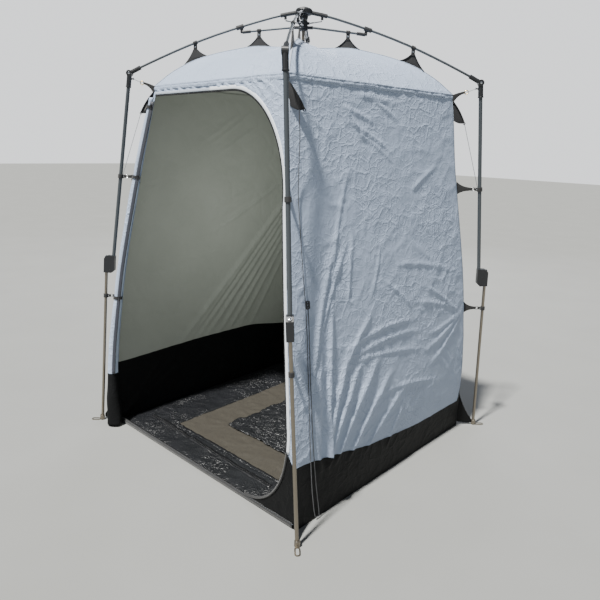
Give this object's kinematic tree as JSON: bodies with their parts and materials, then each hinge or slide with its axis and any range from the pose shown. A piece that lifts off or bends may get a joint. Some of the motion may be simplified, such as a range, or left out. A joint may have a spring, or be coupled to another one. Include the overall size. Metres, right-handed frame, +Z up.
{
  "type": "pop-up toilet tent",
  "caption": "Tall square pop-up toilet tent: umbrella-hub frame with telescoping legs carries a grey fabric cabin with an open rolled-back doorway and a black floor band.",
  "frame": {"origin": "on the ground, under the hub", "axes": "+Z up along the mast, -Y out of the doorway"},
  "size_m": [1.5904, 1.5904, 2.168],
  "materials": {
    "black_plastic": "moulded satin",
    "black_painted_steel": "dark grey powder coat",
    "grey_steel": "satin",
    "silver_grey_polyester": "coated woven cloth",
    "black_polyester": "coated woven cloth",
    "black_webbing": "woven webbing"
  },
  "bodies": {
    "root": {"back_wall": "silver_grey_polyester", "corner_webbing_back_left": "black_webbing", "corner_webbing_back_right": "black_webbing", "corner_webbing_front_left": "black_webbing", "corner_webbing_front_right": "black_webbing", "crown_link_back_left": "black_painted_steel", "crown_link_back_right": "black_painted_steel", "crown_link_front_left": "black_painted_steel", "crown_link_front_right": "black_painted_steel", "elbow_back_left": "black_plastic", "elbow_back_right": "black_plastic", "elbow_front_left": "black_plastic", "elbow_front_right": "black_plastic", "front_wall": "silver_grey_polyester", "groundsheet": "black_polyester", "guyline_front_right": "black_webbing", "guyline_slider": "black_plastic", "hub_crown": "black_plastic", "left_wall": "silver_grey_polyester", "leg_lock_back_left": "black_plastic", "leg_lock_back_right": "black_plastic", "leg_lock_front_left": "black_plastic", "leg_lock_front_right": "black_plastic", "mast": "grey_steel", "pole_bracket_back_left": "black_plastic", "pole_bracket_back_right": "black_plastic", "pole_bracket_front_left": "black_plastic", "pole_bracket_front_right": "black_plastic", "right_wall": "silver_grey_polyester", "rolled_door": "silver_grey_polyester", "roof_canopy": "silver_grey_polyester", "roof_pole_back_left": "black_painted_steel", "roof_pole_back_right": "black_painted_steel", "roof_pole_front_left": "black_painted_steel", "roof_pole_front_right": "black_painted_steel", "roof_tie_back_left": "black_webbing", "roof_tie_back_right": "black_webbing", "roof_tie_front_left": "black_webbing", "roof_tie_front_right": "black_webbing", "runner": "black_plastic", "stretcher_back_left": "black_painted_steel", "stretcher_back_right": "black_painted_steel", "stretcher_front_left": "black_painted_steel", "stretcher_front_right": "black_painted_steel", "upper_leg_back_left": "black_painted_steel", "upper_leg_back_right": "black_painted_steel", "upper_leg_front_left": "black_painted_steel", "upper_leg_front_right": "black_painted_steel"},
    "leg_front_right": {"lower_leg_front_right": "grey_steel"},
    "leg_back_right": {"lower_leg_back_right": "grey_steel"},
    "leg_back_left": {"lower_leg_back_left": "grey_steel"},
    "leg_front_left": {"lower_leg_front_left": "grey_steel"}
  },
  "joints": [
    {"name": "leg_slide_front_right", "type": "slide", "parent": "root", "child": "leg_front_right", "axis": [-0.0843, -0.001, 0.9964], "range_m": [0, 0.55]},
    {"name": "leg_slide_back_right", "type": "slide", "parent": "root", "child": "leg_back_right", "axis": [0.001, -0.0843, 0.9964], "range_m": [0, 0.55]},
    {"name": "leg_slide_back_left", "type": "slide", "parent": "root", "child": "leg_back_left", "axis": [0.0843, 0.001, 0.9964], "range_m": [0, 0.55]},
    {"name": "leg_slide_front_left", "type": "slide", "parent": "root", "child": "leg_front_left", "axis": [-0.001, 0.0843, 0.9964], "range_m": [0, 0.55]}
  ]
}
